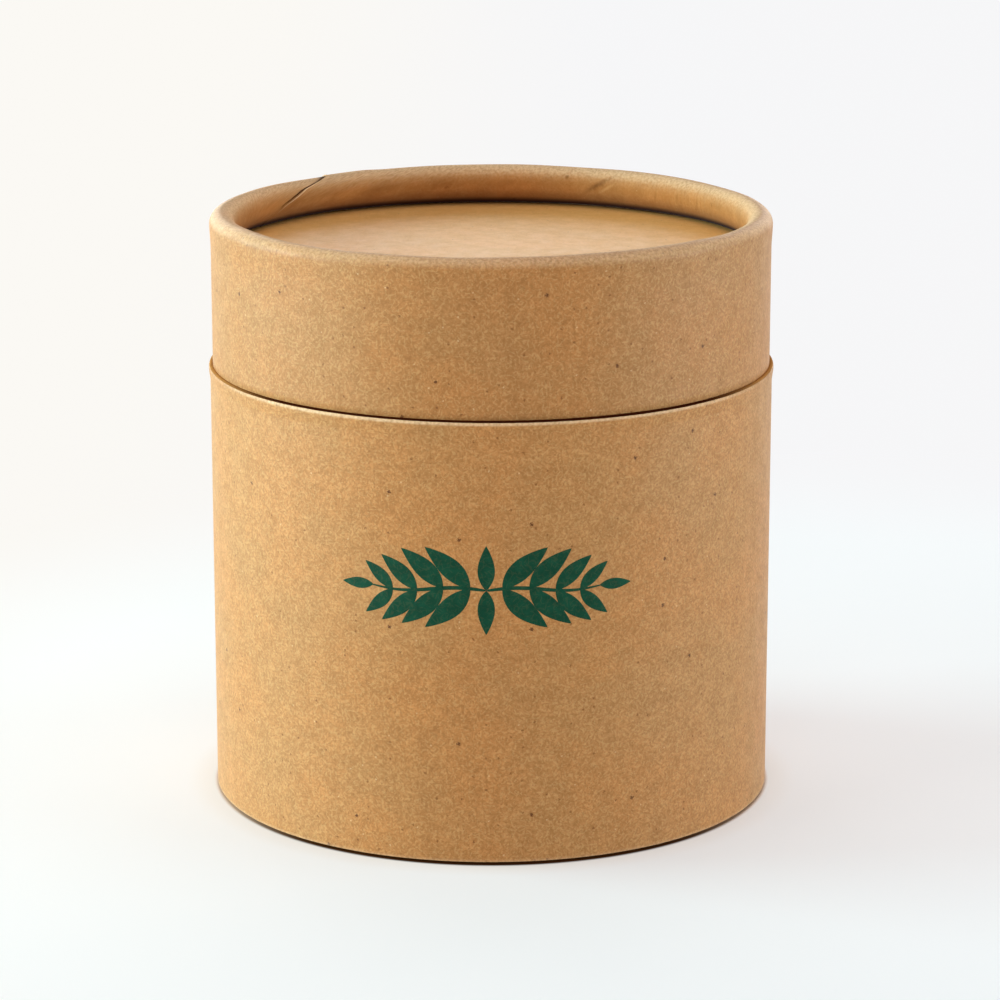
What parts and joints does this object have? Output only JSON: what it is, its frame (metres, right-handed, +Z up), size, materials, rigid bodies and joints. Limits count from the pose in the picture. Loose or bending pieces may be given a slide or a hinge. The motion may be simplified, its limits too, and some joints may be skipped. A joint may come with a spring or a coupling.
{
  "type": "cylindrical gift tube box",
  "caption": "Round kraft board gift box: a straight base with a raised neck, and a lift-off lid with a curled rim round a sunken top disc.",
  "frame": {"origin": "centre of the foot, on the surface that the box stands on", "axes": "+Z up along the tube's axis, out of the base's mouth; +Y towards the back, where the face paper overlaps"},
  "size_m": [0.0964, 0.0964, 0.1002],
  "materials": {
    "kraft_paper": "uncoated brown kraft face paper with dark and light fibres",
    "lining_paper": "smooth light kraft lining paper",
    "board": "wound kraft board, plies showing on cut edges",
    "disc_paper": "smooth kraft paper with faint machine streaks"
  },
  "bodies": {
    "base": {"base_tube": "board", "base_wrap": "kraft_paper", "base_disc": "board", "base_disc_facing": "disc_paper", "floor_liner": "lining_paper", "neck_tube": "board", "neck_facing": "lining_paper", "neck_lining": "lining_paper"},
    "lid": {"lid_tube": "board", "lid_wrap": "kraft_paper", "lid_disc": "board", "lid_disc_facing": "disc_paper", "lid_disc_liner": "lining_paper", "lid_lining": "lining_paper"}
  },
  "joints": [
    {"name": "lid_lift", "type": "slide", "parent": "base", "child": "lid", "axis": [0, 0, 1], "range_m": [0, 0.045]}
  ]
}
